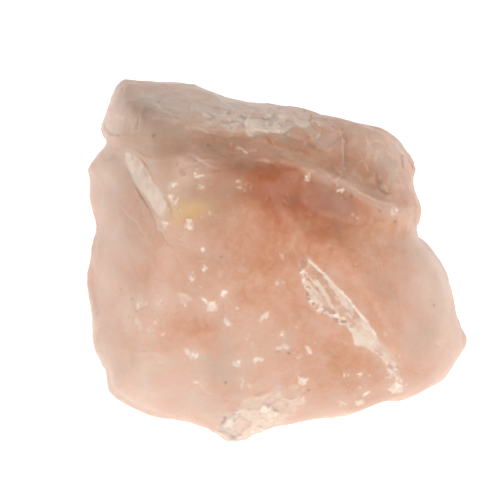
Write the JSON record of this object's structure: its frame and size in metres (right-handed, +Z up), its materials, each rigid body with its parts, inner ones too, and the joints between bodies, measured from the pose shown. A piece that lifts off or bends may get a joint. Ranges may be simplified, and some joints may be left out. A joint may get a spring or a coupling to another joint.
{
  "type": "rose quartz chunk",
  "caption": "Rough broken chunk of translucent pink quartz with a ledge, a splinter scar and frosty chips, resting on a flat broken base",
  "frame": {"origin": "on the resting plane, under the middle of the stone's bounding box", "axes": "+X along the stone's longest side, -Y towards the broad broken face that leans back, +Z up out of the flat base"},
  "size_m": [0.066, 0.056, 0.0423],
  "materials": {
    "rose_quartz": "waxy, conchoidal fracture"
  },
  "bodies": {
    "root": {"rose_quartz_chunk": "rose_quartz"}
  },
  "joints": []
}
